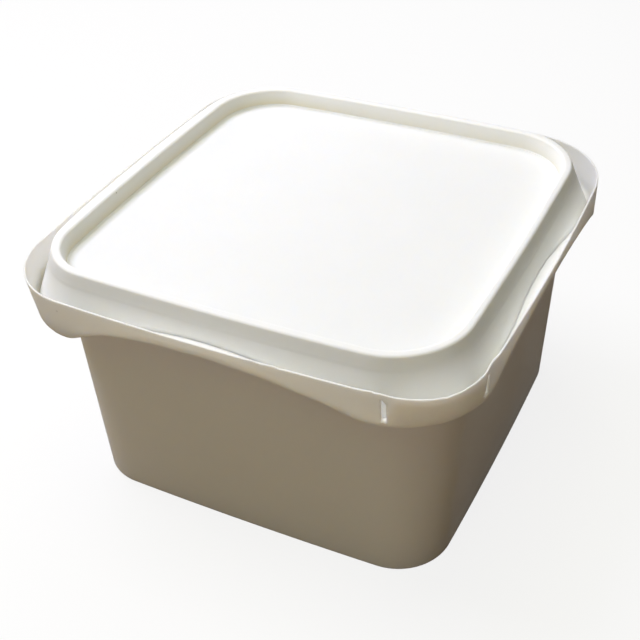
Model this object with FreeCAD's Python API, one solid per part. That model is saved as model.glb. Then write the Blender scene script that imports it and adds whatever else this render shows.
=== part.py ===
import FreeCAD, Part
import math
import os

# Square food tub with a tamper wall and a press-on lid, shut and filled.
# Millimetres, +Z up, origin at the centre of the base.
# Widths are taken across the middle of the sides, where the bowed sides stand out most.

# ---- driving dimensions: the whole ----
OVERALL_WIDTH = 176.0
OVERALL_HEIGHT = 102.0

# ---- driving dimensions: tub ----
WALL_CORNER_RADIUS = 28.5
WALL_FOOT_CORNER_RADIUS = 32.0
WALL_BOW = 1.4
WALL_THICKNESS = 1.0
WALL_DRAFT = 0.5
WALL_TOP_DROP = 5.9
WALL_CORNER_DEPTH = 13.5
MOAT_WIDTH = 7.95

WAVE_RISE = 9.1
WAVE_CROWN_RADIUS = 180.0
WAVE_FOOT_RADIUS = 20.0
FLANGE_THICKNESS = 1.0

BODY_TAPER = 5.95
BODY_BOW = 0.7
BASE_CORNER_RADIUS = 20.6
BASE_EDGE_RADIUS = 1.5
SHOULDER_CORNER_RADIUS = 29.8

TAB_REACH = 26.5
TAB_SLOT_WIDTH = 1.7
TAB_BRIDGE = 2.3

# ---- driving dimensions: lid ----
LID_THICKNESS = 1.2
RING_CORNER_RADIUS = 29.8
RING_BOW = 0.95
RING_TOP_WIDTH = 5.6
RING_DRAFT = 1.6
RING_OUTER_ROUND = 1.0
RING_INNER_ROUND = 0.8
RECESS_DEPTH = 6.5
RECESS_DRAFT = 0.9
SKIRT_TOP_DROP = 4.7
SKIRT_REACH = 0.72

# ---- clearances ----
HEM_CLEARANCE = 0.3
RIM_CLEARANCE = 0.3
CUT_MARGIN = 5.0

# ---- sizes that follow ----
WALL_TOP_Z = OVERALL_HEIGHT - WALL_TOP_DROP
WAVE_CORNER_Z = WALL_TOP_Z - WALL_CORNER_DEPTH
SHOULDER_Z = WAVE_CORNER_Z + WAVE_RISE
PANEL_Z = OVERALL_HEIGHT - RECESS_DEPTH
PANEL_UNDERSIDE_Z = PANEL_Z - LID_THICKNESS
CHANNEL_Z = OVERALL_HEIGHT - LID_THICKNESS
RIM_TOP_Z = CHANNEL_Z - RIM_CLEARANCE
RIM_INSET = LID_THICKNESS + RIM_CLEARANCE
WALL_HALF = OVERALL_WIDTH / 2
RING_HALF = WALL_HALF - MOAT_WIDTH
BASE_HALF = RING_HALF - RIM_INSET - BODY_TAPER
SHOULDER_HALF = BASE_HALF + BODY_TAPER * SHOULDER_Z / RIM_TOP_Z
SKIRT_TOP_Z = OVERALL_HEIGHT - SKIRT_TOP_DROP
HEM_CORNER_Z = WAVE_CORNER_Z + FLANGE_THICKNESS + HEM_CLEARANCE
SKIRT_SPREAD = SKIRT_REACH * MOAT_WIDTH
RECESS_FLOOR_INSET = RING_TOP_WIDTH + RECESS_DRAFT


def outline(half, radius, bow, z):
    """Square outline at height z: four long arcs bowed out by bow and four tangent corner arcs."""
    run = half - radius
    side_radius = (run * run + bow * bow) / (2 * bow)
    side_centre = side_radius - half
    slack = (side_radius - radius) ** 2 - side_centre ** 2
    corner = (-side_centre + math.sqrt(side_centre ** 2 + 2 * slack)) / 2
    turn = math.atan2(corner + side_centre, corner)

    def on_arc(cx, cy, r, angle, quarter):
        x = cx + r * math.cos(angle)
        y = cy + r * math.sin(angle)
        c = math.cos(quarter)
        s = math.sin(quarter)
        return FreeCAD.Vector(c * x - s * y, s * x + c * y, z)

    edges = []
    for k in range(4):
        quarter = k * math.pi / 2
        corner_arc = [on_arc(corner, corner, radius, a, quarter)
                      for a in (math.pi / 2 - turn, math.pi / 4, turn)]
        side_arc = [on_arc(0, -side_centre, side_radius, a, quarter)
                    for a in (turn, math.pi / 2, math.pi - turn)]
        edges.append(Part.Arc(*corner_arc).toShape())
        edges.append(Part.Arc(*side_arc).toShape())
    return Part.Wire(edges)


def tower(sections):
    """Solid through a stack of outlines, straight between each pair."""
    levels = [Part.makeLoft([low, high], True, True) for low, high in zip(sections, sections[1:])]
    solid = levels[0]
    for level in levels[1:]:
        solid = solid.fuse(level)
    return solid.removeSplitter()


def lid_outline(inset, z):
    """Outline parallel to the lid's ring, inset from its outer wall (negative is outside)."""
    return outline(RING_HALF - inset, RING_CORNER_RADIUS - inset, RING_BOW, z)


def wall_outline(inset, z):
    """Outline parallel to the tamper wall, inset from its outer face, with the wall's draft."""
    down = (WALL_TOP_Z - z) / (WALL_TOP_Z - WAVE_CORNER_Z)
    radius = WALL_CORNER_RADIUS + (WALL_FOOT_CORNER_RADIUS - WALL_CORNER_RADIUS) * down
    return outline(WALL_HALF - inset - WALL_DRAFT * down, radius - inset, WALL_BOW, z)


def ring_draft(z):
    """How far the ring's wall leans in at height z, from nothing where the skirt starts."""
    return RING_DRAFT * (z - SKIRT_TOP_Z) / SKIRT_TOP_DROP


def below_wave(lift):
    """Everything below the wave that the flange follows, raised by lift, along both axes.

    The wave is a crown arc at the middle of each side that runs through a foot arc into the
    flat corners.
    """
    flat_z = WAVE_CORNER_Z + lift
    crown_z = flat_z + WAVE_RISE
    radii = WAVE_CROWN_RADIUS + WAVE_FOOT_RADIUS
    turn = math.acos(1 - WAVE_RISE / radii)
    join_s = WAVE_CROWN_RADIUS * math.sin(turn)
    join_z = crown_z - WAVE_CROWN_RADIUS * (1 - math.cos(turn))
    foot_s = radii * math.sin(turn)
    half_s = foot_s - WAVE_FOOT_RADIUS * math.sin(turn / 2)
    half_z = flat_z + WAVE_FOOT_RADIUS * (1 - math.cos(turn / 2))

    def at(s, z):
        return FreeCAD.Vector(s, -OVERALL_WIDTH, z)

    edges = [
        Part.LineSegment(at(-OVERALL_WIDTH, flat_z), at(-foot_s, flat_z)).toShape(),
        Part.Arc(at(-foot_s, flat_z), at(-half_s, half_z), at(-join_s, join_z)).toShape(),
        Part.Arc(at(-join_s, join_z), at(0, crown_z), at(join_s, join_z)).toShape(),
        Part.Arc(at(join_s, join_z), at(half_s, half_z), at(foot_s, flat_z)).toShape(),
        Part.LineSegment(at(foot_s, flat_z), at(OVERALL_WIDTH, flat_z)).toShape(),
        Part.LineSegment(at(OVERALL_WIDTH, flat_z), at(OVERALL_WIDTH, -CUT_MARGIN)).toShape(),
        Part.LineSegment(at(OVERALL_WIDTH, -CUT_MARGIN), at(-OVERALL_WIDTH, -CUT_MARGIN)).toShape(),
        Part.LineSegment(at(-OVERALL_WIDTH, -CUT_MARGIN), at(-OVERALL_WIDTH, flat_z)).toShape(),
    ]
    along_y = Part.Face(Part.Wire(edges)).extrude(FreeCAD.Vector(0, 2 * OVERALL_WIDTH, 0))
    along_x = along_y.copy()
    along_x.rotate(FreeCAD.Vector(0, 0, 0), FreeCAD.Vector(0, 0, 1), 90)
    return along_y.fuse(along_x)


def round_edges(solid, z, low_half, high_half, radius):
    """Fillet the edges that lie at height z with a middle between the two half widths."""
    picked = []
    for edge in solid.Edges:
        box = edge.BoundBox
        reach = max(abs(box.XMin), abs(box.XMax), abs(box.YMin), abs(box.YMax))
        level = abs(box.ZMin - z) < 0.01 and abs(box.ZMax - z) < 0.01
        if level and low_half < reach < high_half:
            picked.append(edge)
    return solid.makeFillet(radius, picked)


def plug(clearance, low_z, high_z):
    """The lid's sunken middle with its wall, grown by a clearance."""
    def inset(z):
        share = (z - PANEL_Z) / RECESS_DEPTH
        return RECESS_FLOOR_INSET - RECESS_DRAFT * share - LID_THICKNESS - clearance

    return tower([lid_outline(inset(low_z), low_z), lid_outline(inset(high_z), high_z)])


def make_body():
    """The filled body, up to the top of the rim that stands in the lid's channel."""
    body = tower([
        outline(BASE_HALF, BASE_CORNER_RADIUS, BODY_BOW, 0),
        outline(SHOULDER_HALF, SHOULDER_CORNER_RADIUS, BODY_BOW, SHOULDER_Z),
        lid_outline(RIM_INSET, SKIRT_TOP_Z),
        lid_outline(RIM_INSET + ring_draft(RIM_TOP_Z), RIM_TOP_Z),
    ])
    return round_edges(body, 0, 0, WALL_HALF, BASE_EDGE_RADIUS)


def make_tamper_wall():
    """The waved flange and the wall around the lid, with the tear tab between two slots."""
    wall = tower([wall_outline(0, WAVE_CORNER_Z), wall_outline(0, WALL_TOP_Z)])
    wall = wall.cut(below_wave(0))
    moat = tower([wall_outline(WALL_THICKNESS, WAVE_CORNER_Z),
                  wall_outline(WALL_THICKNESS, WALL_TOP_Z + CUT_MARGIN)])
    moat = moat.cut(below_wave(FLANGE_THICKNESS))
    wall = wall.cut(moat)

    slot_top = WALL_TOP_Z - TAB_BRIDGE
    slot_bottom = WAVE_CORNER_Z - CUT_MARGIN
    slot_centre = WALL_HALF - TAB_REACH
    depth = 2 * WALL_THICKNESS + WALL_DRAFT
    slot = Part.makeBox(TAB_SLOT_WIDTH, depth + CUT_MARGIN, slot_top - slot_bottom)
    front = slot.copy()
    front.translate(FreeCAD.Vector(slot_centre - TAB_SLOT_WIDTH / 2,
                                   -WALL_HALF - CUT_MARGIN, slot_bottom))
    side = slot.copy()
    side.rotate(FreeCAD.Vector(0, 0, 0), FreeCAD.Vector(0, 0, 1), 90)
    side.translate(FreeCAD.Vector(WALL_HALF + CUT_MARGIN,
                                  -slot_centre - TAB_SLOT_WIDTH / 2, slot_bottom))
    return wall.cut(front).cut(side)


def make_tub():
    """Body, flange and tamper wall in one moulding, with room for the lid's sunken middle."""
    tub = make_body().fuse(make_tamper_wall())
    tub = tub.cut(plug(RIM_CLEARANCE, PANEL_UNDERSIDE_Z, OVERALL_HEIGHT))
    return tub.removeSplitter()


def make_lid():
    """Sunken panel, raised ring and flared skirt in one moulding."""
    outside = tower([
        lid_outline(-SKIRT_SPREAD, HEM_CORNER_Z),
        lid_outline(0, SKIRT_TOP_Z),
        lid_outline(RING_DRAFT, OVERALL_HEIGHT),
    ])
    inside = tower([
        lid_outline(LID_THICKNESS - SKIRT_SPREAD, HEM_CORNER_Z),
        lid_outline(LID_THICKNESS, SKIRT_TOP_Z),
        lid_outline(LID_THICKNESS + ring_draft(CHANNEL_Z), CHANNEL_Z),
    ])
    recess = tower([
        lid_outline(RECESS_FLOOR_INSET, PANEL_Z),
        lid_outline(RING_TOP_WIDTH, OVERALL_HEIGHT),
    ])
    shell = outside.cut(inside).cut(below_wave(FLANGE_THICKNESS + HEM_CLEARANCE))
    shell = shell.fuse(plug(0, PANEL_UNDERSIDE_Z, OVERALL_HEIGHT)).cut(recess).removeSplitter()
    ring_middle = RING_HALF - RING_TOP_WIDTH / 2
    shell = round_edges(shell, OVERALL_HEIGHT, ring_middle, WALL_HALF, RING_OUTER_ROUND)
    return round_edges(shell, OVERALL_HEIGHT, 0, ring_middle, RING_INNER_ROUND)


os.makedirs("parts", exist_ok=True)
for name, shape in (("tub", make_tub()), ("lid", make_lid())):
    solid = shape.Solids[0]
    print(name, "solids", len(shape.Solids), "valid", solid.isValid(), "volume", round(solid.Volume))
    solid.exportStep(os.path.join("parts", name + ".step"))
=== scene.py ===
import math

import bmesh
import bpy
import numpy as np
from bpy.props import FloatProperty, FloatVectorProperty, IntProperty, PointerProperty
from mathutils import Matrix, Vector


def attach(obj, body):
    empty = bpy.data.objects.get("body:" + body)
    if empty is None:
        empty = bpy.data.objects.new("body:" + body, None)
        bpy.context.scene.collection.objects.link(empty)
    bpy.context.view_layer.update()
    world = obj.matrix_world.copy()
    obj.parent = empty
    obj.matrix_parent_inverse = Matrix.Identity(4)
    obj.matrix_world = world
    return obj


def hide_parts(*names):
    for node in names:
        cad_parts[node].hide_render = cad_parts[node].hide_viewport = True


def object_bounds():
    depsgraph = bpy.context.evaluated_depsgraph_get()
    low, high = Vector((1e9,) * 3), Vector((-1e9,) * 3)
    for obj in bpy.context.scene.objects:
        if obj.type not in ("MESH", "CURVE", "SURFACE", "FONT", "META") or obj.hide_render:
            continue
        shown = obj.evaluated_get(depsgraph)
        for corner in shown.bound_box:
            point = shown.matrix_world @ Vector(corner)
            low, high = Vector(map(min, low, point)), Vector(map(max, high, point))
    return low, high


bl_info = {
    "name": "Square tamper-evident food tub",
    "version": (1, 0, 0),
    "blender": (4, 5, 0),
    "location": "3D View > Sidebar > Tub",
    "description": "Builds a shut square tub with a tamper wall and a press-on lid round a CAD frame",
    "category": "Add Mesh",
}

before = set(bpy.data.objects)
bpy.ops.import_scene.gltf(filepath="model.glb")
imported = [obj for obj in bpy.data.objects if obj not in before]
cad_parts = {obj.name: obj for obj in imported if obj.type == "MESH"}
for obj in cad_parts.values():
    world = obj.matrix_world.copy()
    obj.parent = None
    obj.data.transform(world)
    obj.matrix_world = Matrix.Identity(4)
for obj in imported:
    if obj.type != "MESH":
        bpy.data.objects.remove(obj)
BOX_LOW, BOX_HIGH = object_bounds()
MM = 0.001
CAD_WIDTH = BOX_HIGH.x - BOX_LOW.x


# ------------------------------------------------------------------ settings

def length(name, description, default):
    """A length property in metres."""
    return FloatProperty(name=name, description=description, default=default,
                         unit="LENGTH", precision=5)


def corner_lengths(name, description, default):
    """Four lengths in metres: at the back right, back left and front left corner and at the tab."""
    return FloatVectorProperty(name=name, description=description, default=default,
                               unit="LENGTH", size=4)


def share(name, description, default):
    """A plain number between nothing and all."""
    return FloatProperty(name=name, description=description, default=default,
                         subtype="FACTOR", min=0.0, max=1.0)


def colour(name, description, default):
    """A linear RGB colour."""
    return FloatVectorProperty(name=name, description=description, default=default,
                               subtype="COLOR", size=3, min=0.0, max=1.0)


class TubSizes(bpy.types.PropertyGroup):
    """Sizes of the tub's body, flange and tamper wall."""
    width: length("Width", "Across the tamper wall, at the middle of the sides", CAD_WIDTH)
    corner_radii: corner_lengths("Wall corner radii", "Corner radii of the wall along its top",
                                 (34.0 * MM, 31.0 * MM, 29.5 * MM, 28.0 * MM))
    foot_corner: length("Wall foot radius", "Corner radius of the wall at its foot", 32.0 * MM)
    wall_bow: length("Wall bow", "How far the middle of a wall side stands out", 1.4 * MM)
    wall_thickness: length("Wall thickness", "Thickness of the tamper wall", 1.0 * MM)
    tip_thickness: length("Tip thickness", "Thickness of the wall at its top", 0.7 * MM)
    wall_draft: length("Wall draft", "How far the wall leans in at its foot", 0.5 * MM)
    wall_drop: length("Wall drop", "From the top of the lid down to the top of the wall", 5.9 * MM)
    wall_depth: length("Wall depth", "Height of the wall at the corners", 13.5 * MM)
    wave_rise: length("Wave rise", "How far the flange rises on the front and the back", 8.6 * MM)
    side_rise: length("Side wave rise", "How far the flange rises on the other two sides", 9.4 * MM)
    crown_shift: length("Crown shift", "How far each crown sits toward the front or left", 4.0 * MM)
    crown_radius: length("Crown radius", "Radius of the flange's wave at its crown", 180.0 * MM)
    foot_radius: length("Foot radius", "Radius of the wave's foot by the corners", 20.0 * MM)
    corner_drops: corner_lengths("Corner drops", "How far the flange hangs lower at each corner",
                                 (1.8 * MM, 1.8 * MM, 2.3 * MM, 0.0))
    flange: length("Flange thickness", "Thickness of the flange under the moat", 1.0 * MM)
    moat: length("Moat width", "From the lid's ring out to the wall's outer face", 7.95 * MM)
    taper: length("Body taper", "How far each side leans in from the rim to the base", 5.95 * MM)
    body_bow: length("Body bow", "How far the middle of a body side stands out", 0.7 * MM)
    base_radius: length("Base corner radius", "Corner radius of the base", 20.6 * MM)
    shoulder_radius: length("Shoulder corner radius", "Corner radius of the body under the flange",
                            29.8 * MM)
    base_edge: length("Base edge radius", "Rounding of the base edge", 1.5 * MM)
    tab_reach: length("Tab reach", "From the wall's outer face to the middle of a slot", 26.5 * MM)
    tab_slot: length("Tab slot width", "Width of the slot on the tab's front side", 1.7 * MM)
    side_slot: length("Side slot width", "Width of the slot on the tab's other side", 2.1 * MM)
    tab_bridge: length("Tab bridge", "Height of wall left above a slot", 2.3 * MM)
    tab_foot: length("Tab foot", "Height of wall left below a slot", 1.6 * MM)
    tab_swell: length("Tab swell", "How far the top of the tab stands out at its middle", 1.4 * MM)
    tab_pinch: length("Tab pinch", "How far the wall's top is drawn in beside the slots", 0.7 * MM)
    tab_stiffener: length("Tab stiffener", "Extra thickness behind the tab", 1.4 * MM)


class LidSizes(bpy.types.PropertyGroup):
    """Sizes of the lid."""
    thickness: length("Lid thickness", "Thickness of the lid's plastic", 1.2 * MM)
    ring_radii: corner_lengths("Ring corner radii", "Corner radii of the raised ring",
                               (29.8 * MM, 29.8 * MM, 25.0 * MM, 29.8 * MM))
    ring_bow: length("Ring bow", "How far the middle of a ring side stands out", 0.95 * MM)
    ring_top: length("Ring top width", "From the ring's outer wall to its inner wall", 5.3 * MM)
    outer_round: length("Outer rounding", "Rounding of the ring's outer top edge", 1.0 * MM)
    inner_round: length("Inner rounding", "Rounding of the ring's inner top edge", 1.0 * MM)
    recess: length("Recess depth", "Depth of the panel below the ring's top", 6.5 * MM)
    recess_draft: length("Recess draft", "How far the recess wall leans in at its foot", 1.2 * MM)
    gutter: length("Gutter depth", "Depth of the shallow gutter round the panel", 0.2 * MM)
    ring_slope: share("Ring slope", "How far the ring's outer wall leans in for each unit up", 0.42)
    left_lean: share("Left lean", "Share of the ring wall's lean that the left side has", 0.15)
    right_lean: share("Right lean", "Share of the lean that the right side has on top", 0.2)
    ledge: length("Ledge", "Height of the steeper band between the ring and the skirt", 1.0 * MM)
    skirt_drop: length("Skirt drop", "From the ring's top down to the start of the skirt", 5.1 * MM)
    skirt_flare: share("Skirt flare", "How far the skirt goes out for each unit down", 0.42)
    right_flare: share("Right flare", "How much more the skirt goes out on the right side", 0.38)
    hem_gap: length("Hem gap", "Gap between the skirt's hem and the moat's floor", -0.15 * MM)
    rim_gap: length("Rim gap", "Gap between the tub's rim and the lid", 0.3 * MM)


class MeshDensity(bpy.types.PropertyGroup):
    """How finely the outlines are divided."""
    corner: IntProperty(name="Corner steps", description="Steps round one corner",
                        default=38, min=8)
    side: IntProperty(name="Side steps", description="Steps along one side",
                      default=148, min=8)


class TubFinish(bpy.types.PropertyGroup):
    """Colours and surface of the moulded plastic."""
    tub_colour: colour("Tub colour", "Off-white of the tub", (0.90, 0.89, 0.855))
    lid_colour: colour("Lid colour", "Off-white of the lid", (0.90, 0.895, 0.865))
    # painted shade: a warm, darker colour multiplied into the recess wall towards its foot, where
    # shade falls
    painted_crease_shade: colour("Crease colour", "Tint at the foot of the recess wall",
                          (0.88, 0.80, 0.58))
    speck_colour: colour("Speck colour", "Dark grains caught in the plastic", (0.16, 0.12, 0.09))
    roughness: share("Roughness", "Roughness of the moulded surface", 0.56)
    scatter: share("Scatter", "How much light travels inside the plastic", 1.0)


class StageLook(bpy.types.PropertyGroup):
    """Floor, lamps and sky."""
    floor_colour: colour("Floor colour", "Colour of the floor", (0.9, 0.9, 0.89))
    bounce_colour: colour("Bounce colour", "Floor colour that the tub's sides are lit by",
                          (0.24, 0.18, 0.11))
    power: FloatProperty(name="Lamp power", description="Power that every lamp has its share of",
                         default=10.0, min=0.0, unit="POWER")
    sky: FloatProperty(name="Sky", description="Strength of the even light from all round",
                       default=0.0, min=0.0)


# ------------------------------------------------------------------ outlines

class Columns:
    """The steps round an outline: which quarter, whether on a side, and the share along that arc."""

    def __init__(self, corner_steps, side_steps):
        part = np.concatenate([np.arange(steps) / steps for steps in (corner_steps, side_steps)])
        self.share = np.tile(part, 4)[None, :]
        self.is_side = np.tile(np.arange(len(part)) >= corner_steps, 4)[None, :]
        self.corner = np.repeat(np.arange(4), len(part))[None, :]
        self.quarter = self.corner * math.pi / 2
        self.count = 4 * len(part)

    def by_corner(self, values):
        """One value per step from four corner values: constant round a corner, and eased from one
        corner's value to the next along a side."""
        values = np.asarray(values, float)
        here, after = values[self.corner], values[(self.corner + 1) % 4]
        return np.where(self.is_side, here + (after - here) * ease(self.share), here)


def column(values):
    """Values as an array of rows: a flat list becomes one value per row, a full array stays."""
    values = np.asarray(values, float)
    return values if values.ndim == 2 else values.reshape(-1, 1)


def ease(part):
    """A share from nothing to one that starts and ends softly: three times its square less twice its
    cube."""
    part = np.clip(part, 0, 1)
    return part * part * (3 - 2 * part)


def rows(start, stop, steps):
    """Values at equal steps from start to stop, as a column."""
    return np.linspace(start, stop, steps)[:, None]


def arc(start, stop, steps):
    """Angles at equal steps from start to stop, given in degrees, as a column of radians."""
    return np.radians(rows(start, stop, steps))


def outline(half, radius, bow, cols):
    """A bowed square: four long arcs that stand out by bow, joined by tangent corner arcs.

    half, radius and bow are columns of numbers, one per row, or full arrays. With run = half -
    radius, the long arc's radius is the sum of the squares of run and bow, over twice bow, and its
    centre lies on the axis. The corner arc's centre lies on the diagonal, where the corner arc
    touches the long arc. Returns x and y.
    """
    half, radius, bow = (column(a) for a in (half, radius, bow))
    run = half - radius
    side_radius = (run ** 2 + bow ** 2) / (2 * bow)
    side_centre = side_radius - half
    slack = (side_radius - radius) ** 2 - side_centre ** 2
    corner = (-side_centre + np.sqrt(side_centre ** 2 + 2 * slack)) / 2
    turn = np.arctan2(corner + side_centre, corner)
    corner_angle = math.pi / 2 - turn + cols.share * (2 * turn - math.pi / 2)
    side_angle = turn + cols.share * (math.pi - 2 * turn)
    angle = np.where(cols.is_side, side_angle, corner_angle)
    size = np.where(cols.is_side, side_radius, radius)
    x = np.where(cols.is_side, 0.0, corner) + size * np.cos(angle)
    y = np.where(cols.is_side, -side_centre, corner) + size * np.sin(angle)
    c, s = np.cos(cols.quarter), np.sin(cols.quarter)
    return c * x - s * y, s * x + c * y


# degrees from the middle of the tab to its slots, from a slot on to where the pinch is deepest, and
# from there to where the pinch ends
SLOT_ANGLE = 9.9
PINCH_OFFSET = 0.6
PINCH_SPAN = 3.0
# distance from the middle, both ways, at which a hanging corner is at its full drop, and the length
# over which the drop grows, which is longer at the front left
DROP_END = 62.0 * MM
DROP_RUN = 9.0 * MM
FRONT_LEFT_RUN = 27.0 * MM
# waver of the flange: its height, and for each product of two sines its share, then radians per
# metre and starting angle along x and along y
WAVER_HEIGHT = 0.1 * MM
WAVER_SINES = (
    (1.0, 310, 1.3, 270, 0.4),
    (0.6, 730, 0.0, 810, 1.0),
)


class Shape:
    """Every size and outline that the pieces share, worked out from the settings."""

    def __init__(self, scene):
        tub, lid, density = scene.tub_sizes, scene.lid_sizes, scene.tub_density
        self.tub, self.lid = tub, lid
        self.cols = Columns(density.corner, density.side)
        self.top = BOX_HIGH.z
        self.wall_top = self.top - tub.wall_drop
        self.wave_low = self.wall_top - tub.wall_depth
        self.wall_half = tub.width / 2
        self.ring_half = self.wall_half - tub.moat
        self.rim_inset = lid.thickness + lid.rim_gap
        self.rim_top = self.top - lid.thickness - lid.rim_gap
        self.base_half = self.ring_half - self.rim_inset - tub.taper
        self.shoulder = self.wave_low + tub.wave_rise
        self.panel = self.top - lid.recess
        self.skirt_top = self.top - lid.skirt_drop
        self.recess_foot = lid.ring_top + lid.recess_draft

    def wave(self, x, y):
        """Height of the flange's underside: near the middle of each side a crown arc, shifted along
        the side, that runs through a foot arc into the flat corners, and of the two directions the
        higher one."""
        tub = self.tub

        def rise(along, height):
            away = np.abs(along + tub.crown_shift * (1 - ease(np.abs(along) / self.wall_half)))
            radii = tub.crown_radius + tub.foot_radius
            turn = math.acos(1 - height / radii)
            join, foot = tub.crown_radius * math.sin(turn), radii * math.sin(turn)
            drop = np.sqrt(tub.crown_radius ** 2 - np.minimum(away, join) ** 2)
            crown = height - tub.crown_radius + drop
            past = np.clip(foot - away, 0, tub.foot_radius)
            low = tub.foot_radius - np.sqrt(tub.foot_radius ** 2 - past ** 2)
            return np.where(away < join, crown, low)

        return self.wave_low + np.maximum(rise(x, tub.wave_rise), rise(y, tub.side_rise))

    def floor(self, x, y):
        """The wave, less each corner's own drop, which eases in along x and along y, and with a
        slight waver all round: a sum of products of a sine along x and a sine along y."""
        run = np.where((x < 0) & (y < 0), FRONT_LEFT_RUN, DROP_RUN)
        corner = ease((np.abs(x) - DROP_END) / run + 1) * ease((np.abs(y) - DROP_END) / run + 1)
        back_right, back_left, front_left, tab = self.tub.corner_drops
        back = np.where(x > 0, back_right, back_left)
        front = np.where(x > 0, tab, front_left)
        drop = np.where(y > 0, back, front)
        waver = sum(part * np.sin(x * along_x + start_x) * np.sin(y * along_y + start_y)
                    for part, along_x, start_x, along_y, start_y in WAVER_SINES)
        return self.wave(x, y) - drop * corner + WAVER_HEIGHT * waver

    def off_tab(self, x, y):
        """Degrees from the middle of the tab, either way round."""
        return np.abs(np.degrees(np.arctan2(y, x)) + 45.0)

    def wall(self, inset, z):
        """Outline parallel to the tamper wall, inset from its outer face. Going down the wall it leans
        in and its corner radii run straight to the foot's. The tab swells and the wall beside it is
        pinched, both eased along the outline and fading straight from the wall's top to its foot."""
        tub = self.tub
        down = (self.wall_top - np.asarray(z, float)) / tub.wall_depth
        top_radius = self.cols.by_corner(tub.corner_radii)
        radius = top_radius + (tub.foot_corner - top_radius) * down - column(inset)
        half = self.wall_half - column(inset) - tub.wall_draft * down + 0 * radius
        x, y = outline(half, radius, tub.wall_bow + 0 * radius, self.cols)
        around = self.off_tab(x, y)
        swell = tub.tab_swell * ease(1 - around / SLOT_ANGLE)
        from_pinch = np.abs(around - SLOT_ANGLE - PINCH_OFFSET)
        pinch = tub.tab_pinch * ease(1 - from_pinch / PINCH_SPAN)
        move = (swell - pinch) * np.clip(1 - down, 0, 1)
        size = 1 + move / np.hypot(x, y)
        return x * size, y * size

    def ring(self, inset):
        """Outline parallel to the lid's ring, inset from its outer wall."""
        inset = column(inset)
        radius = self.cols.by_corner(self.lid.ring_radii) - inset
        return outline(self.ring_half - inset, radius, self.lid.ring_bow + 0 * radius, self.cols)

    def off_ring(self, inset):
        """Points at an inset from the ring that may change along the outline: the ring's own outline
        moved against its outward normal by the inset."""
        x, y = self.ring([0.0])
        out_x, out_y = self.ring([-MM])
        normal_x, normal_y = (out_x - x) / MM, (out_y - y) / MM
        return x - normal_x * inset, y - normal_y * inset

    def body(self, inset, z):
        """Outline of the body at height z: straight from the base outline to the shoulder outline."""
        tub = self.tub
        inset = column(inset)
        bow = tub.body_bow + 0 * inset
        low = outline(self.base_half - inset, tub.base_radius - inset, bow, self.cols)
        shoulder_half = self.base_half + tub.taper * self.shoulder / self.rim_top
        high = outline(shoulder_half - inset, tub.shoulder_radius - inset, bow, self.cols)
        up = np.asarray(z, float) / self.shoulder
        return low[0] + (high[0] - low[0]) * up, low[1] + (high[1] - low[1]) * up


# ------------------------------------------------------------------ meshes

def stack(parts):
    """One grid, of rows by columns by three, from parts that are each x, y and z. Where a z has one
    value per row, or one in all, it counts for the whole row."""
    return np.concatenate([np.stack(np.broadcast_arrays(*p), axis=-1) for p in parts], axis=0)


def shrunk(x, y, shares, z):
    """A part of flat rows at height z: the last row of x and y drawn in to each of the shares."""
    return x[-1:] * column(shares), y[-1:] * column(shares), z


def closed_mesh(name, grid, low_centre, high_centre, shade=None):
    """A closed skin over a grid of rings: quads between rings, and a fan to a point at each end.
    shade, one number per grid point, is kept as the attribute the finish reads."""
    m, n, _ = grid.shape
    points = np.concatenate([grid.reshape(-1, 3), [low_centre, high_centre]])
    i, j = np.meshgrid(np.arange(m - 1), np.arange(n), indexing="ij")
    k = (j + 1) % n
    quads = np.stack([i * n + j, i * n + k, (i + 1) * n + k, (i + 1) * n + j], axis=-1)
    j = np.arange(n)
    k = (j + 1) % n
    low = np.stack([np.full(n, m * n), k, j], axis=-1)
    high = np.stack([np.full(n, m * n + 1), (m - 1) * n + j, (m - 1) * n + k], axis=-1)
    corners = np.concatenate([quads.ravel(), low.ravel(), high.ravel()]).astype(np.int32)
    sizes = np.concatenate([np.full((m - 1) * n, 4), np.full(2 * n, 3)]).astype(np.int32)
    starts = np.concatenate([[0], np.cumsum(sizes)[:-1]]).astype(np.int32)
    mesh = bpy.data.meshes.new(name)
    mesh.vertices.add(len(points))
    mesh.vertices.foreach_set("co", points.astype(np.float32).ravel())
    mesh.loops.add(len(corners))
    mesh.loops.foreach_set("vertex_index", corners)
    mesh.polygons.add(len(sizes))
    mesh.polygons.foreach_set("loop_start", starts)
    mesh.update(calc_edges=True)
    mesh.validate()
    mesh.shade_smooth()
    if shade is not None:
        layer = mesh.attributes.new("shade", "FLOAT", "POINT")
        layer.data.foreach_set("value", np.append(shade.ravel(), [0, 0]).astype(np.float32))
    return mesh


def show(name, mesh):
    """A new object at the origin that holds the mesh."""
    piece = bpy.data.objects.new(name, mesh)
    bpy.context.scene.collection.objects.link(piece)
    return piece


def settle(piece):
    """Applies a piece's modifiers to its mesh."""
    bpy.context.view_layer.update()
    evaluated = piece.evaluated_get(bpy.context.evaluated_depsgraph_get())
    mesh = bpy.data.meshes.new_from_object(evaluated)
    piece.modifiers.clear()
    piece.data = mesh


# ------------------------------------------------------------------ tub

# in mm: x and y of a burr on the wall's top edge, how far it stands up, and its width
BURRS = (
    (17.6, -87.9, 0.28, 0.8), (21.1, -87.9, -0.25, 0.7), (25.3, -87.2, 0.25, 0.8),
    (27.7, -87.2, -0.30, 0.7), (58.9, -85.7, -0.45, 0.8), (79.4, -79.0, -0.35, 0.8),
    (83.6, -72.9, 0.25, 0.9), (84.8, -64.3, -0.45, 0.9), (87.4, 21.1, 0.35, 0.9),
    (87.6, 16.9, -0.35, 0.8), (87.7, 8.1, 0.30, 0.8), (87.8, 4.1, -0.30, 0.8),
    (71.8, 78.4, -0.40, 0.8), (-41.0, 87.3, 0.30, 0.8), (-87.4, 30.0, -0.30, 0.8),
    (-87.6, -24.0, 0.25, 0.8),
)
# power of the share up the wall's outer face by which the burrs fade in
BURR_FADE = 12
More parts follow.
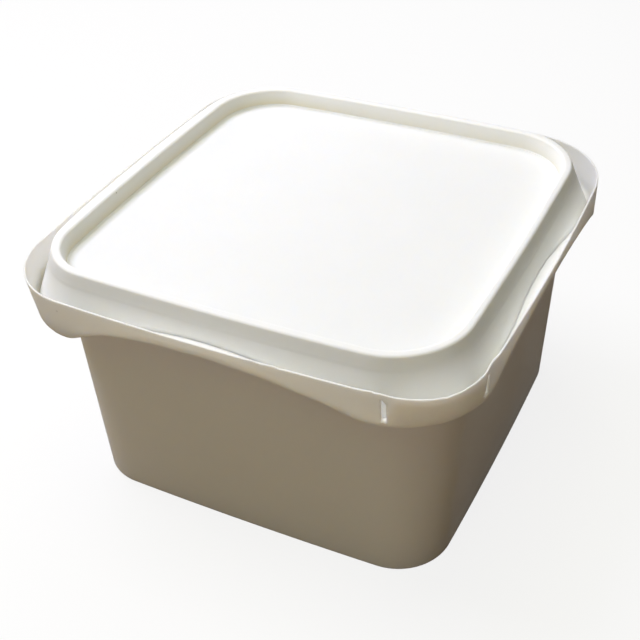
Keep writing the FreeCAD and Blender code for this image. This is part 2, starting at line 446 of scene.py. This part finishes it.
# insets in the underside: the raised middle, the foot ring's inner edge and the slope between them
HOLLOW_INSET = 9.5 * MM
FOOT_INSET = 7.0 * MM
FOOT_SLOPE = 1.2 * MM
FOOT_LIFT = 0.8 * MM
# roundings: flange to body, foot of the wall outside, top of the wall, and foot of the wall inside
FLANGE_FILLET = 1.2 * MM
WALL_EDGE = 0.2 * MM
WALL_TIP = 0.3 * MM
MOAT_FILLET = 2.2 * MM
# height over which the wall thickens below its tip, and how far the moat's floor stops off the body
TIP_RUN = 4 * MM
MOAT_END = 0.3 * MM
# stiffener: degrees from the middle of the tab to its end, degrees over which it eases out, and the
# share of its thickness by which it also raises the moat's floor
STIFFENER_END = 8.6
STIFFENER_RUN = 2.5
STIFFENER_LIFT = 0.6
# rim under the lid: insets of its rows in mm, its chamfer's height, how far its inner face steps in
# at the foot, and the gap left under the panel
RIM_ROWS = (0.1, 1.3, 1.7, 2.9)
RIM_CHAMFER = 0.6 * MM
RIM_STEP = 0.3 * MM
PANEL_GAP = 0.05 * MM


def burrs(x, y):
    """Height of the small burrs and nicks along the wall's top edge: each is a bell, its height
    times e to the less square of the distance over its width."""
    spots = np.array(BURRS) * MM
    across = np.hypot(x[..., None] - spots[:, 0], y[..., None] - spots[:, 1])
    return (spots[:, 2] * np.exp(-(across / spots[:, 3]) ** 2)).sum(axis=-1)


def tub_grid(shape):
    """The tub's skin from the middle of the base, up the side, round the flange and the tamper wall,
    along the moat and up the rim to the middle of the top. Between two outlines it runs straight,
    and each rounding is part of a circle."""
    tub, lid = shape.tub, shape.lid
    edge = tub.base_edge
    parts = []

    # underside: raised middle, slope to the foot ring, foot ring and rounded edge
    x, y = shape.body([HOLLOW_INSET], 0.0)
    parts.append(shrunk(x, y, [0.25, 0.5, 0.75, 0.95, 1.0], FOOT_LIFT))
    s = rows(0, 1, 6)
    x, y = shape.body(FOOT_INSET + FOOT_SLOPE * (1 - s), 0.0)
    parts.append((x, y, FOOT_LIFT * (1 - ease(s))))
    x, y = shape.body(rows(FOOT_INSET - 1.0 * MM, edge + 0.3 * MM, 4), 0.0)
    parts.append((x, y, 0.0))
    a = arc(0, 90, 9)
    z = edge * (1 - np.cos(a))
    x, y = shape.body(edge * (1 - np.sin(a)), z)
    parts.append((x, y, z))

    # body, and the fillet into the flange
    under = shape.floor(*shape.body([0.0], shape.shoulder))
    s = rows(0, 1, 14)[1:]
    z = edge + (under - FLANGE_FILLET - edge) * s
    x, y = shape.body(0 * s, z)
    parts.append((x, y, z))
    a = arc(0, 90, 7)[1:]
    z = under - FLANGE_FILLET + FLANGE_FILLET * np.sin(a)
    x, y = shape.body(-FLANGE_FILLET * (1 - np.cos(a)), z)
    parts.append((x, y, z))

    # underside of the flange
    inner = x[-1:], y[-1:]
    outer = shape.wall([WALL_EDGE], shape.wave_low)
    s = rows(0, 1, 7)[1:-1]
    x, y = (i + (o - i) * s for i, o in zip(inner, outer))
    parts.append((x, y, shape.floor(x, y)))

    # tamper wall: rounded foot, outer face, rounded tip and inner face
    foot = shape.floor(*outer)
    a = arc(0, 90, 6)
    z = foot + WALL_EDGE * (1 - np.cos(a))
    x, y = shape.wall(WALL_EDGE * (1 - np.sin(a)), z)
    parts.append((x, y, z))
    s = rows(0, 1, 11)[1:]
    z = foot + WALL_EDGE + (shape.wall_top - WALL_TIP - foot - WALL_EDGE) * s
    x, y = shape.wall(0 * s, z)
    parts.append((x, y, z + burrs(x, y) * s ** BURR_FADE))
    a = arc(0, 90, 6)[1:]
    z = shape.wall_top - WALL_TIP * (1 - np.sin(a))
    x, y = shape.wall(WALL_TIP * (1 - np.cos(a)), z)
    parts.append((x, y, z + burrs(x, y)))
    stiff = ease((STIFFENER_END - shape.off_tab(x[-1:], y[-1:])) / STIFFENER_RUN)
    thick = tub.wall_thickness + tub.tab_stiffener * stiff
    lift = tub.tab_stiffener * STIFFENER_LIFT * stiff
    a = arc(0, 90, 6)
    z = shape.wall_top - WALL_TIP * (1 - np.cos(a))
    x, y = shape.wall(tub.tip_thickness - WALL_TIP * (1 - np.sin(a)), z)
    parts.append((x, y, z + burrs(x, y)))
    outer = shape.wall(thick + MOAT_FILLET, shape.wave_low)
    floor = shape.floor(*outer) + tub.flange + lift
    s = rows(0, 1, 12)[1:]
    z = shape.wall_top - WALL_TIP + (floor + MOAT_FILLET - shape.wall_top + WALL_TIP) * s
    depth = ease((shape.wall_top - z) / TIP_RUN)
    x, y = shape.wall(tub.tip_thickness + (thick - tub.tip_thickness) * depth, z)
    parts.append((x, y, z))

    # moat: fillet and floor, on which the stiffener's lift fades over the outer third
    a = arc(0, 90, 9)[1:]
    z = floor + MOAT_FILLET * (1 - np.sin(a))
    x, y = shape.wall(thick + MOAT_FILLET * (1 - np.cos(a)), z)
    parts.append((x, y, z))
    outer = x[-1:], y[-1:]
    inner = shape.body([-MOAT_END], under + tub.flange)
    s = rows(0, 1, 8)[1:]
    x, y = (o + (i - o) * s for i, o in zip(inner, outer))
    parts.append((x, y, shape.floor(x, y) + tub.flange + lift * (1 - ease(s * 3))))

    # rim, and the flat top under the lid's panel
    x, y = shape.ring(shape.rim_inset + np.array(RIM_ROWS) * MM)
    heights = [shape.skirt_top, shape.rim_top - RIM_CHAMFER, shape.rim_top, shape.rim_top]
    parts.append((x, y, column(heights)))
    under_panel = shape.panel - lid.thickness - PANEL_GAP
    x, y = shape.ring([shape.recess_foot - lid.thickness - lid.rim_gap + RIM_STEP])
    parts.append(shrunk(x, y, [1.0, 0.7, 0.4], under_panel))
    return stack(parts), (0, 0, FOOT_LIFT), (0, 0, under_panel)


def slot_cutter(shape):
    """Two slanted posts that cut the slots beside the tab through the wall alone, one per side. Each
    is one outline, with a tooth at its foot and a slanted head, carried straight through the wall."""
    tub = shape.tub
    centre = shape.wall_half - tub.tab_reach
    low, high = shape.wave_low + tub.tab_foot, shape.wall_top - tub.tab_bridge
    slant, tooth = 1.3 * MM, 0.7 * MM
    deep, out = 4.2 * MM, 2.0 * MM
    near, far = shape.wall_half - deep, shape.wall_half + out
    # share of the slot's half width along the wall, and height
    profile = [(-1.0, low + tooth / 2), (0.1, low), (0.3, low + tooth), (1.0, low + tooth),
               (1.0, high - slant), (-0.4, high), (-1.0, high)]
    k = len(profile)
    points, faces = [], []
    for on_front, half in ((True, tub.tab_slot / 2), (False, tub.side_slot / 2)):
        start = len(points)
        for reach in (near, far):
            for part, z in profile:
                along = part * half
                if on_front:
                    points.append((centre + along, -reach, z))
                else:
                    points.append((reach, -centre + along, z))
        faces.append([start + i for i in range(k)])
        faces.append([start + k + i for i in reversed(range(k))])
        for i in range(k):
            after = (i + 1) % k
            faces.append([start + i, start + k + i, start + k + after, start + after])
    mesh = bpy.data.meshes.new("slot_cutter")
    mesh.from_pydata(points, [], faces)
    mesh.validate()
    skin = bmesh.new()
    skin.from_mesh(mesh)
    bmesh.ops.recalc_face_normals(skin, faces=skin.faces)
    skin.to_mesh(mesh)
    skin.free()
    return show("slot_cutter", mesh)


# ------------------------------------------------------------------ lid

# rounding of the skirt's hem, and the rounds that close in on the hem's height
HEM_ROUND = 0.15 * MM
HEM_ROUNDS = 5
# how far the flat underside starts inside the plug, and the share of the lid's thickness by which
# the channel's upper corner stands in from the ring's wall
PLUG_EDGE = 0.4 * MM
CHANNEL_CORNER = 1.1
# insets of the ledge's lower and upper edge, as shares of its height
LEDGE_FOOT = 0.15
LEDGE_HEAD = 0.45
# degrees round from the left, either way, where the left side's lean starts to pass into the lean of
# the others, and where the right side starts; each passes over the same angle
LEAN_START = 24.0
RIGHT_START = 142.0
SIDE_RUN = 22.0
# small step at the foot of the recess wall: height, width and the run past it to the gutter, then
# the insets of its rows as shares of the width and their heights as shares of the height
STEP_UP = 0.5 * MM
STEP_OUT = 0.45 * MM
STEP_PAST = 0.12 * MM
STEP_INSETS = (0.12, 0.9, 1.1, 1.25)
STEP_HEIGHTS = (0.97, 0.90, 0.70, 0.05)
# gutter round the panel: width, and the share of it at which it is deepest
GUTTER_WIDTH = 4.0 * MM
GUTTER_LOW = 0.25
# insets in mm of the panel's outer rows, all below the smallest corner radius of the ring
PANEL_ROWS = (13.0, 15.0, 17.5)
# painted shade on the recess wall, standing in for the shade that falls there: what the right side
# has of it, what the top edge has of it, the shares of the ring's half width to the left where it
# starts to grow and over which it does, and how far above the panel it stops
SHADE_RIGHT = 0.35
SHADE_TOP = 0.05
SHADE_START = 0.2
SHADE_RUN = 0.6
SHADE_STOP = 0.52 * MM


def lid_grid(shape):
    """The lid's skin from the middle of its underside, along the channel and down inside the skirt,
    round the hem, up outside over the ring, down the recess wall and over the panel. The skirt and
    the ring's wall are straight lines that lean by a slope, and each rounding is part of a circle."""
    lid = shape.lid
    thick = lid.thickness
    underside = shape.panel - thick
    plug = shape.recess_foot - thick
    ledge_foot, ledge_head = lid.ledge * LEDGE_FOOT, lid.ledge * LEDGE_HEAD
    ledge_top = shape.skirt_top + lid.ledge
    parts = []

    # underside, plug and the channel over the tub's rim
    x, y = shape.ring([plug + PLUG_EDGE])
    parts.append(shrunk(x, y, [0.4, 0.7, 1.0], underside))
    s = rows(0, 1, 5)
    x, y = shape.ring(plug - lid.recess_draft * s)
    parts.append((x, y, underside + (shape.top - thick - underside) * s))
    crown_inset = ledge_head + lid.ring_slope * (shape.top - thick - ledge_top)
    x, y = shape.ring([crown_inset + thick * CHANNEL_CORNER, ledge_head + thick])
    parts.append((x, y, column([shape.top - thick, ledge_top])))

    ring_x, ring_y = shape.ring([0.0])
    from_left = 180.0 - np.abs(np.degrees(np.arctan2(ring_y, ring_x)))
    on_right = ease((from_left - RIGHT_START) / SIDE_RUN)
    flare = lid.skirt_flare + lid.right_flare * on_right

    def skirt(z, inset):
        """The skirt's surface at height z, inset from its outer face: it goes out by the flare for
        each unit down from the skirt's top."""
        return shape.off_ring(inset + ledge_foot - flare * (shape.skirt_top - z))

    # height of the hem, where the flared skirt meets the moat's floor, found by steps
    hem = np.full((1, shape.cols.count), shape.wave_low)
    for _ in range(HEM_ROUNDS):
        hem = shape.wave(*skirt(hem, 0)) + shape.tub.flange + lid.hem_gap

    # skirt: inner face, hem and outer face
    s = rows(0, 1, 12)
    z = shape.skirt_top + (hem + HEM_ROUND - shape.skirt_top) * s
    parts.append((*skirt(z, thick), z))
    a = arc(0, 180, 9)[1:-1]
    z = hem + HEM_ROUND * (1 - np.sin(a))
    parts.append((*skirt(z, thick / 2 + (thick / 2) * np.cos(a)), z))
    s = np.sqrt(rows(0, 1, 22))
    z = hem + HEM_ROUND + (shape.skirt_top - hem - HEM_ROUND) * s
    parts.append((*skirt(z, 0), z))

    # ledge and outer wall of the ring, each side with its own share of the lean
    lean = lid.left_lean + (1 - lid.left_lean) * ease((from_left - LEAN_START) / SIDE_RUN)
    lean = lean + lid.right_lean * on_right
    s = column([0.1, 0.5, 0.9, 1.0])
    x, y = shape.off_ring(ledge_foot + (ledge_head * lean - ledge_foot) * s)
    parts.append((x, y, shape.skirt_top + lid.ledge * s))
    tip = math.degrees(math.atan(lid.ring_slope))
    edge_z = shape.top - lid.outer_round * (1 - math.sin(math.radians(tip)))
    edge_inset = ledge_head + lid.ring_slope * (edge_z - ledge_top)
    s = column([0.04, 0.3, 0.6, 0.9, 1.0])
    x, y = shape.off_ring((ledge_head + (edge_inset - ledge_head) * s) * lean)
    parts.append((x, y, ledge_top + (edge_z - ledge_top) * s))

    # top of the ring: outer rounding, flat and inner rounding
    round_inset = edge_inset + lid.outer_round * math.cos(math.radians(tip))
    flat_inset = edge_inset * lean + round_inset - edge_inset
    a = arc(tip, 90, 9)[1:]
    x, y = shape.off_ring(flat_inset - lid.outer_round * np.cos(a))
    parts.append((x, y, shape.top - lid.outer_round * (1 - np.sin(a))))
    s = rows(0, 1, 4)[1:-1]
    x, y = shape.off_ring(flat_inset + (lid.ring_top - lid.inner_round - flat_inset) * s)
    parts.append((x, y, shape.top))
    a = arc(0, 90, 8)
    x, y = shape.ring(lid.ring_top - lid.inner_round * (1 - np.sin(a)))
    parts.append((x, y, shape.top - lid.inner_round * (1 - np.cos(a))))

    # recess wall, whose lean is one less the square of what is left of its way down, and its step
    s = rows(0, 1, 12)[1:]
    low, high = shape.panel + STEP_UP, shape.top - lid.inner_round
    x, y = shape.ring(lid.ring_top + lid.recess_draft * (1 - (1 - s) ** 2))
    parts.append((x, y, high + (low - high) * s))
    x, y = shape.ring(shape.recess_foot + STEP_OUT * column(STEP_INSETS))
    parts.append((x, y, shape.panel + STEP_UP * column(STEP_HEIGHTS)))

    # gutter, a quarter of a sine down and half a cosine back up, and the flat panel
    gutter_start = shape.recess_foot + STEP_OUT * STEP_INSETS[-1] + STEP_PAST
    s = rows(0, 1, 14)
    x, y = shape.ring(gutter_start + GUTTER_WIDTH * s)
    down = np.sin(s / GUTTER_LOW * math.pi / 2)
    back_up = 0.5 + 0.5 * np.cos((s - GUTTER_LOW) / (1 - GUTTER_LOW) * math.pi)
    dip = np.where(s < GUTTER_LOW, down, back_up)
    parts.append((x, y, shape.panel - lid.gutter * dip))
    x, y = shape.ring(np.array(PANEL_ROWS) * MM)
    parts.append((x, y, shape.panel))
    parts.append(shrunk(x, y, [0.9, 0.75, 0.6, 0.45, 0.3, 0.15], shape.panel))
    grid = stack(parts)
    return grid, (0, 0, underside), (0, 0, shape.panel), recess_shade(shape, grid)


def recess_shade(shape, grid):
    """How much painted shade each point has: nothing but on the recess wall, where it grows with the
    square of the depth and eases up towards the left side, standing in for the shade there."""
    lid = shape.lid
    x, z = grid[..., 0], grid[..., 2]
    ring_flat = np.flatnonzero(np.isclose(grid[:, 0, 2], shape.top, atol=1e-7))
    inner = np.arange(len(grid))[:, None] > ring_flat.max()
    depth = np.clip((shape.top - lid.inner_round - z) / (lid.recess - lid.inner_round), 0, 1)
    to_left = ease((-x / shape.ring_half - SHADE_START) / SHADE_RUN)
    side = SHADE_RIGHT + (1 - SHADE_RIGHT) * to_left
    amount = (SHADE_TOP + (1 - SHADE_TOP) * depth ** 2) * side
    return np.where(inner & (z > shape.panel + SHADE_STOP), amount, 0.0)


# ------------------------------------------------------------------ finishes

# centre and radius in metres of each dark grain
TUB_SPECKS = (
    ((-0.0583, -0.0860, 0.0919), 0.0006),
    ((-0.0565, -0.0860, 0.0892), 0.0004),
    ((0.0380, 0.0810, 0.0600), 0.0005),
)
LID_SPECKS = (
    ((0.0013, -0.0809, 0.0962), 0.0005),
    ((-0.0742, -0.0085, 0.1018), 0.0005),
    ((-0.0744, -0.0255, 0.1010), 0.0004),
)
# share of a grain's radius within which it is darkest, and how much of its colour shows there
SPECK_CORE = 0.45
SPECK_STRENGTH = 0.55
# cloudy tone as shares of the plastic's colour, and smeared roughness as steps from the finish's
TONE_LOW, TONE_HIGH = 0.97, 1.03
SMOOTHER, ROUGHER = 0.06, 0.08


def node(tree, kind, **values):
    """A new shader node with its properties and inputs set."""
    made = tree.nodes.new(kind)
    for key, value in values.items():
        if key in made.inputs:
            made.inputs[key].default_value = value
        else:
            setattr(made, key, value)
    return made


def laid_over(tree, below, above, factor, how="MIX"):
    """A linked colour with a plain colour laid over it by a linked factor."""
    made = node(tree, "ShaderNodeMix", data_type="RGBA", blend_type=how)
    made.inputs[7].default_value = (*above, 1)
    tree.links.new(factor, made.inputs["Factor"])
    tree.links.new(below, made.inputs[6])
    return made.outputs[2]


def plastic(name, tint, finish, specks=(), painted_shade=False):
    """Moulded off-white plastic: soft cloudy tone, fine grain, slow ripples and a few dark specks;
    where asked, painted shade: a warm, darker colour multiplied in by the mesh's own shade attribute."""
    material = bpy.data.materials.new(name)
    material.use_nodes = True
    tree = material.node_tree
    shader = tree.nodes["Principled BSDF"]
    link = tree.links.new
    place = node(tree, "ShaderNodeTexCoord").outputs["Object"]

    cloud = node(tree, "ShaderNodeTexNoise", Scale=22.0, Detail=4.0, Roughness=0.55)
    link(place, cloud.inputs["Vector"])
    tone = node(tree, "ShaderNodeMix", data_type="RGBA")
    tone.inputs[6].default_value = (*[c * TONE_LOW for c in tint], 1)
    tone.inputs[7].default_value = (*[min(c * TONE_HIGH, 1) for c in tint], 1)
    link(cloud.outputs["Fac"], tone.inputs["Factor"])
    result = tone.outputs[2]
    for centre, size in specks:
        away = node(tree, "ShaderNodeVectorMath", operation="DISTANCE")
        away.inputs[1].default_value = centre
        link(place, away.inputs[0])
        spot = node(tree, "ShaderNodeMapRange", interpolation_type="SMOOTHSTEP")
        spot.inputs["From Min"].default_value = size * SPECK_CORE
        spot.inputs["From Max"].default_value = size
        spot.inputs["To Min"].default_value = SPECK_STRENGTH
        spot.inputs["To Max"].default_value = 0.0
        link(away.outputs["Value"], spot.inputs["Value"])
        result = laid_over(tree, result, finish.speck_colour, spot.outputs["Result"])
    # painted shade on the recess wall: the shade attribute multiplies in the warm, darker colour
    if painted_shade:
        shade = node(tree, "ShaderNodeAttribute", attribute_name="shade").outputs["Fac"]
        result = laid_over(tree, result, finish.painted_crease_shade, shade, "MULTIPLY")
    link(result, shader.inputs["Base Color"])

    grain = node(tree, "ShaderNodeTexNoise", Scale=1400.0, Detail=2.0)
    link(place, grain.inputs["Vector"])
    smear = node(tree, "ShaderNodeTexNoise", Scale=60.0, Detail=3.0)
    link(place, smear.inputs["Vector"])
    gloss = node(tree, "ShaderNodeMapRange")
    gloss.inputs["To Min"].default_value = finish.roughness - SMOOTHER
    gloss.inputs["To Max"].default_value = finish.roughness + ROUGHER
    link(smear.outputs["Fac"], gloss.inputs["Value"])
    link(gloss.outputs["Result"], shader.inputs["Roughness"])
    ripple = node(tree, "ShaderNodeTexNoise", Scale=35.0, Detail=1.0)
    link(place, ripple.inputs["Vector"])
    slow = node(tree, "ShaderNodeBump", Strength=0.25, Distance=0.0006)
    link(ripple.outputs["Fac"], slow.inputs["Height"])
    fine = node(tree, "ShaderNodeBump", Strength=0.12, Distance=0.00005)
    link(grain.outputs["Fac"], fine.inputs["Height"])
    link(slow.outputs["Normal"], fine.inputs["Normal"])
    link(fine.outputs["Normal"], shader.inputs["Normal"])
    shader.inputs["IOR"].default_value = 1.49
    shader.inputs["Specular IOR Level"].default_value = 0.3
    shader.inputs["Subsurface Weight"].default_value = finish.scatter
    shader.inputs["Subsurface Radius"].default_value = (1.0, 0.92, 0.8)
    shader.inputs["Subsurface Scale"].default_value = 0.0025
    return material


# ------------------------------------------------------------------ stage

# name, azimuth and elevation in degrees, size in metres, share of the power, tint
LAMPS = (
    ("overhead_softbox", 0, 89.9, 0.45, 0.25, (1.0, 0.99, 0.62)),
    ("left_softbox", 180, 60, 0.5, 0.655, (0.79, 0.785, 1.0)),
    ("left_back_softbox", 135, 60, 0.5, 0.305, (0.81, 0.82, 1.0)),
    ("back_softbox", 90, 60, 0.5, 0.04, (1.0, 0.93, 0.65)),
    ("front_softbox", 265, 60, 0.5, 0.10, (0.95, 1.0, 0.55)),
    ("left_back_low_softbox", 135, 25, 0.5, 0.06, (1.0, 0.87, 0.62)),
    ("left_low_softbox", 180, 22, 0.5, 0.13, (1.0, 0.86, 0.40)),
    ("front_low_softbox", 270, 25, 0.5, 0.084, (1.0, 0.96, 0.92)),
    ("front_floor_softbox", 270, 7, 0.5, 0.034, (1.0, 0.75, 0.50)),
    ("right_low_softbox", 322, 20, 0.5, 0.055, (1.0, 0.77, 0.56)),
)
LAMP_DISTANCE = 1.0
LAMP_AIM = Vector((0.0, 0.0, 0.06))
FLOOR_HALF = 1.5
# share of the shown floor that glows, where the rest takes the tub's shadow
FLOOR_GLOW = 0.85
WHITE = (1, 1, 1, 1)
# camera: place in metres, then in degrees its turn from the front, its height and its roll, and in
# millimetres its lens and sensor
CAMERA_PLACE = (0.165258, -0.316114, 0.314982)
CAMERA_ANGLES = (28.213, 37.0385, -2.9549)
CAMERA_LENS = 63.463
CAMERA_SENSOR = 36.0


def lamp(name, azimuth, elevation, size, power, tint):
    """A square soft lamp that looks at the tub from an azimuth and an elevation."""
    around, above = math.radians(azimuth), math.radians(elevation)
    level = math.cos(above)
    away = Vector((math.cos(around) * level, math.sin(around) * level, math.sin(above)))
    light = bpy.data.lights.new(name, "AREA")
    light.shape = "SQUARE"
    light.size = size
    light.energy = power
    light.color = tint
    made = bpy.data.objects.new(name, light)
    made.location = LAMP_AIM + away * LAMP_DISTANCE
    made.rotation_euler = (-away).to_track_quat("-Z", "Y").to_euler()
    bpy.context.scene.collection.objects.link(made)


def camera():
    """The camera: its axes come from its turn and its height, and the roll turns two of them."""
    optics = bpy.data.cameras.new("camera")
    optics.sensor_width = CAMERA_SENSOR
    optics.lens = CAMERA_LENS
    optics.clip_start = 0.01
    optics.clip_end = 10.0
    made = bpy.data.objects.new("camera", optics)
    turn, height, roll = (math.radians(a) for a in CAMERA_ANGLES)
    level = math.cos(height)
    back = Vector((math.sin(turn) * level, -math.cos(turn) * level, math.sin(height)))
    right = Vector((math.cos(turn), math.sin(turn), 0))
    up = back.cross(right)
    turned_right = math.cos(roll) * right + math.sin(roll) * up
    turned_up = -math.sin(roll) * right + math.cos(roll) * up
    axes = Matrix((turned_right, turned_up, back)).transposed()
    made.matrix_world = Matrix.Translation(CAMERA_PLACE) @ axes.to_4x4()
    bpy.context.scene.collection.objects.link(made)
    return made


def shown_or_cast(tree, cast, shown, output):
    """Ends a tree with one shader for what is seen, directly, in a gloss or through a clear piece,
    and another for the light that falls on the tub."""
    mix = node(tree, "ShaderNodeMixShader")
    seen = node(tree, "ShaderNodeLightPath")
    direct = node(tree, "ShaderNodeMath", operation="MAXIMUM")
    tree.links.new(seen.outputs["Is Camera Ray"], direct.inputs[0])
    tree.links.new(seen.outputs["Is Glossy Ray"], direct.inputs[1])
    looked_at = node(tree, "ShaderNodeMath", operation="MAXIMUM")
    tree.links.new(direct.outputs[0], looked_at.inputs[0])
    tree.links.new(seen.outputs["Is Transmission Ray"], looked_at.inputs[1])
    tree.links.new(looked_at.outputs[0], mix.inputs["Fac"])
    tree.links.new(cast.outputs[0], mix.inputs[1])
    tree.links.new(shown.outputs[0], mix.inputs[2])
    tree.links.new(mix.outputs[0], node(tree, output).inputs["Surface"])


def white_sky(look):
    """A world that shows plain white and lights the tub by no more than the sky's own strength."""
    world = bpy.data.worlds.new("studio")
    world.use_nodes = True
    tree = world.node_tree
    tree.nodes.clear()
    light = node(tree, "ShaderNodeBackground", Color=WHITE, Strength=look.sky)
    white = node(tree, "ShaderNodeBackground", Color=WHITE, Strength=1.0)
    shown_or_cast(tree, light, white, "ShaderNodeOutputWorld")
    return world


def floor_material(look):
    """A pale floor that shows white, keeps the tub's shadow and lights the tub's sides dimly."""
    material = bpy.data.materials.new("floor_paper")
    material.use_nodes = True
    tree = material.node_tree
    tree.nodes.clear()
    paper = node(tree, "ShaderNodeBsdfDiffuse", Color=(*look.floor_colour, 1))
    glow = node(tree, "ShaderNodeEmission", Color=WHITE, Strength=1.0)
    pale = node(tree, "ShaderNodeMixShader", Fac=FLOOR_GLOW)
    tree.links.new(paper.outputs[0], pale.inputs[1])
    tree.links.new(glow.outputs[0], pale.inputs[2])
    bounce = node(tree, "ShaderNodeBsdfDiffuse", Color=(*look.bounce_colour, 1))
    shown_or_cast(tree, bounce, pale, "ShaderNodeOutputMaterial")
    return material


# ------------------------------------------------------------------ operators

class TUB_OT_tub(bpy.types.Operator):
    """Build the tub: body, waved flange, tamper wall and tear-off tab in one moulding"""
    bl_idname = "tub.make_tub"
    bl_label = "Make tub"

    def execute(self, context):
        scene = context.scene
        finish = scene.tub_finish
        shape = Shape(scene)
        piece = show("tub_moulding", closed_mesh("tub_moulding", *tub_grid(shape)))
        cutter = slot_cutter(shape)
        cut = piece.modifiers.new("slots", "BOOLEAN")
        cut.operation = "DIFFERENCE"
        cut.solver = "EXACT"
        cut.object = cutter
        settle(piece)
        bpy.data.objects.remove(cutter)
        piece.data.shade_smooth()
        piece.data.materials.clear()
        skin = plastic("tub_polypropylene", finish.tub_colour, finish, TUB_SPECKS)
        piece.data.materials.append(skin)
        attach(piece, "root")
        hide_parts("tub")
        return {"FINISHED"}


class TUB_OT_lid(bpy.types.Operator):
    """Build the lid: sunken panel, raised ring and flared skirt in one moulding"""
    bl_idname = "tub.make_lid"
    bl_label = "Make lid"

    def execute(self, context):
        scene = context.scene
        finish = scene.tub_finish
        piece = show("lid_moulding", closed_mesh("lid_moulding", *lid_grid(Shape(scene))))
        # the lid takes painted shade on its recess wall
        skin = plastic("lid_polypropylene", finish.lid_colour, finish, LID_SPECKS, painted_shade=True)
        piece.data.materials.append(skin)
        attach(piece, "root")
        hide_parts("lid")
        return {"FINISHED"}


class TUB_OT_stage(bpy.types.Operator):
    """Build the floor, the lamps, the world and the camera"""
    bl_idname = "tub.make_stage"
    bl_label = "Make stage"

    def execute(self, context):
        scene = context.scene
        look = scene.tub_stage
        mesh = bpy.data.meshes.new("floor")
        half = FLOOR_HALF
        points = [(-half, -half, 0), (half, -half, 0), (half, half, 0), (-half, half, 0)]
        mesh.from_pydata(points, [], [(0, 1, 2, 3)])
        floor = show("floor", mesh)
        floor.data.materials.append(floor_material(look))
        for name, azimuth, elevation, size, part, tint in LAMPS:
            lamp(name, azimuth, elevation, size, part * look.power, tint)
        scene.world = white_sky(look)
        scene.camera = camera()
        scene.view_settings.view_transform = "Standard"
        return {"FINISHED"}


class TUB_PT_panel(bpy.types.Panel):
    """The tub's tools in the sidebar"""
    bl_label = "Tub"
    bl_space_type = "VIEW_3D"
    bl_region_type = "UI"
    bl_category = "Tub"

    def draw(self, context):
        for operator in OPERATORS:
            self.layout.operator(operator.bl_idname)


SETTINGS = {
    "tub_sizes": TubSizes,
    "lid_sizes": LidSizes,
    "tub_density": MeshDensity,
    "tub_finish": TubFinish,
    "tub_stage": StageLook,
}
OPERATORS = (TUB_OT_tub, TUB_OT_lid, TUB_OT_stage)


def register():
    """Registers the settings, the operators and the panel."""
    for group in SETTINGS.values():
        bpy.utils.register_class(group)
    for name, group in SETTINGS.items():
        setattr(bpy.types.Scene, name, PointerProperty(type=group))
    for cls in (*OPERATORS, TUB_PT_panel):
        bpy.utils.register_class(cls)


def unregister():
    """Takes back what register did."""
    for cls in (TUB_PT_panel, *reversed(OPERATORS)):
        bpy.utils.unregister_class(cls)
    for name, group in SETTINGS.items():
        delattr(bpy.types.Scene, name)
        bpy.utils.unregister_class(group)


def main():
    """Builds the pieces in order."""
    register()
    bpy.ops.tub.make_tub()
    bpy.ops.tub.make_lid()
    bpy.ops.tub.make_stage()


if __name__ == "__main__":
    main()
